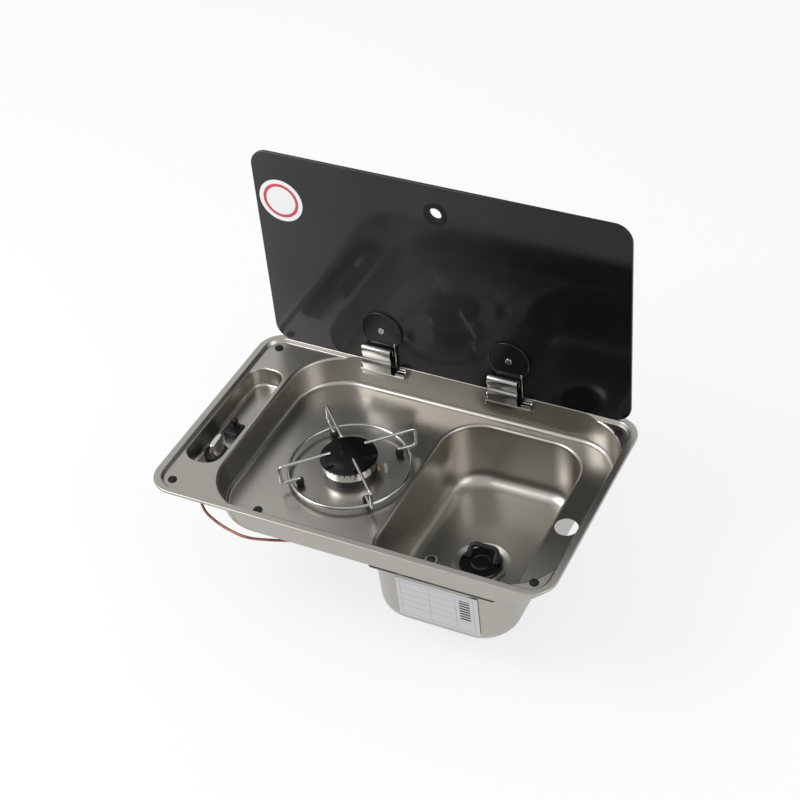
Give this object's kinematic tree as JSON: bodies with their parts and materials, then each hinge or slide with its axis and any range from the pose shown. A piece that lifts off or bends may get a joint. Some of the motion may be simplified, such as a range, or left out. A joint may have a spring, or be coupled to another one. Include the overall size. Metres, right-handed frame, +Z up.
{
  "type": "hob and sink combination",
  "caption": "Drop-in stainless combination with a gas burner in a deep pan, a sink bowl beside it, a control well and a hinged smoked glass lid standing open.",
  "frame": {"origin": "centre of the rim, on the worktop plane that the rim's underside rests on", "axes": "+X along the rim's length to the sink's side, +Y to the rear where the lid hinges are, +Z up"},
  "size_m": [0.6, 0.3655, 0.5388],
  "materials": {
    "satin_steel": "satin",
    "chrome": "polished",
    "zinc_steel": "matt",
    "smoked_glass": "gloss",
    "rubber_black": "matt",
    "foam_seal": "matt",
    "sticker": "gloss",
    "label": "matt",
    "black_gloss": "gloss",
    "black_plastic": "satin",
    "enamel": "gloss",
    "black_steel": "satin",
    "cast_aluminium": "cast",
    "bright_ring": "polished",
    "brass": "satin",
    "copper": "satin",
    "ceramic": "gloss",
    "silver_lever": "satin",
    "lead_sleeve": "matt"
  },
  "bodies": {
    "chassis": {"deck_pressing": "satin_steel", "rim_seal": "foam_seal", "lid_buffers": "rubber_black", "hinge_base_left": "chrome", "hinge_base_right": "chrome", "hinge_pins": "chrome", "hinge_base_screws": "chrome", "hinge_base_nuts": "zinc_steel", "burner_body": "cast_aluminium", "burner_base_ring": "black_steel", "flame_ring": "bright_ring", "burner_screws": "zinc_steel", "injector": "brass", "injector_holder": "brass", "thermocouple": "copper", "thermocouple_lead": "copper", "electrode_ceramic": "ceramic", "electrode_pin": "zinc_steel", "ignition_lead": "lead_sleeve", "valve_body": "cast_aluminium", "valve_magnet_unit": "zinc_steel", "valve_spring": "zinc_steel", "valve_panel_nut": "zinc_steel", "gas_inlet_pipe": "zinc_steel", "burner_gas_pipe": "copper", "pipe_nuts": "brass", "igniter_body": "black_plastic", "igniter_collar": "black_plastic", "igniter_spring": "zinc_steel", "waste_flange": "satin_steel", "waste_seal": "rubber_black", "waste_body": "black_plastic", "waste_backnut": "black_plastic", "data_label": "label"},
    "lid": {"lid_glass": "smoked_glass", "finger_hole_grommet": "rubber_black", "lid_sticker": "sticker", "hinge_arm_left": "black_gloss", "hinge_arm_right": "black_gloss", "hinge_leaf_left": "chrome", "hinge_leaf_right": "chrome", "hinge_clamp_pads": "rubber_black", "hinge_backing_discs": "black_plastic", "hinge_clamp_screws": "chrome", "hinge_clamp_nuts": "chrome"},
    "burner_cap": {"burner_cap": "enamel"},
    "pan_support": {"pan_support_ring": "chrome", "pan_support_finger_1": "chrome", "pan_support_finger_2": "chrome", "pan_support_finger_3": "chrome", "pan_support_finger_4": "chrome", "pan_support_feet": "rubber_black"},
    "push_rod": {"valve_push_rod": "brass"},
    "knob": {"valve_spindle": "brass", "knob_skirt": "black_plastic", "knob_lever": "silver_lever"},
    "igniter_button": {"igniter_button": "black_plastic"},
    "plug": {"plug": "black_gloss"},
    "plug_bail": {"plug_bail": "black_gloss"}
  },
  "joints": [
    {"name": "lid_hinge", "type": "hinge", "parent": "chassis", "child": "lid", "pos_m": [0, 0.1681, -0.00275], "axis": [-1, 0, 0], "range_deg": [-90, 0]},
    {"name": "knob_push", "type": "slide", "parent": "chassis", "child": "push_rod", "axis": [0, 0, -1], "range_m": [0, 0.002], "stiffness_N_per_m": 900, "springref_m": -0.003, "deforming": ["valve_spring"]},
    {"name": "knob_turn", "type": "hinge", "parent": "push_rod", "child": "knob", "pos_m": [-0.259, -0.06, -0.02], "axis": [0, 0, 1], "range_deg": [0, 200]},
    {"name": "igniter_press", "type": "slide", "parent": "chassis", "child": "igniter_button", "axis": [0, 0, -1], "range_m": [0, 0.0022], "stiffness_N_per_m": 900, "springref_m": -0.003, "deforming": ["igniter_spring"]},
    {"name": "burner_cap_lift", "type": "slide", "parent": "chassis", "child": "burner_cap", "axis": [0, 0, 1], "range_m": [0, 0.008]},
    {"name": "pan_support_lift", "type": "slide", "parent": "chassis", "child": "pan_support", "axis": [0, 0, 1], "range_m": [0, 0.06]},
    {"name": "plug_lift", "type": "slide", "parent": "chassis", "child": "plug", "axis": [0, 0, 1], "range_m": [0, 0.16]},
    {"name": "plug_bail_fold", "type": "hinge", "parent": "plug", "child": "plug_bail", "pos_m": [0.1285, -0.0154, -0.1439], "axis": [1, 0, 0], "range_deg": [0, 90]}
  ]
}
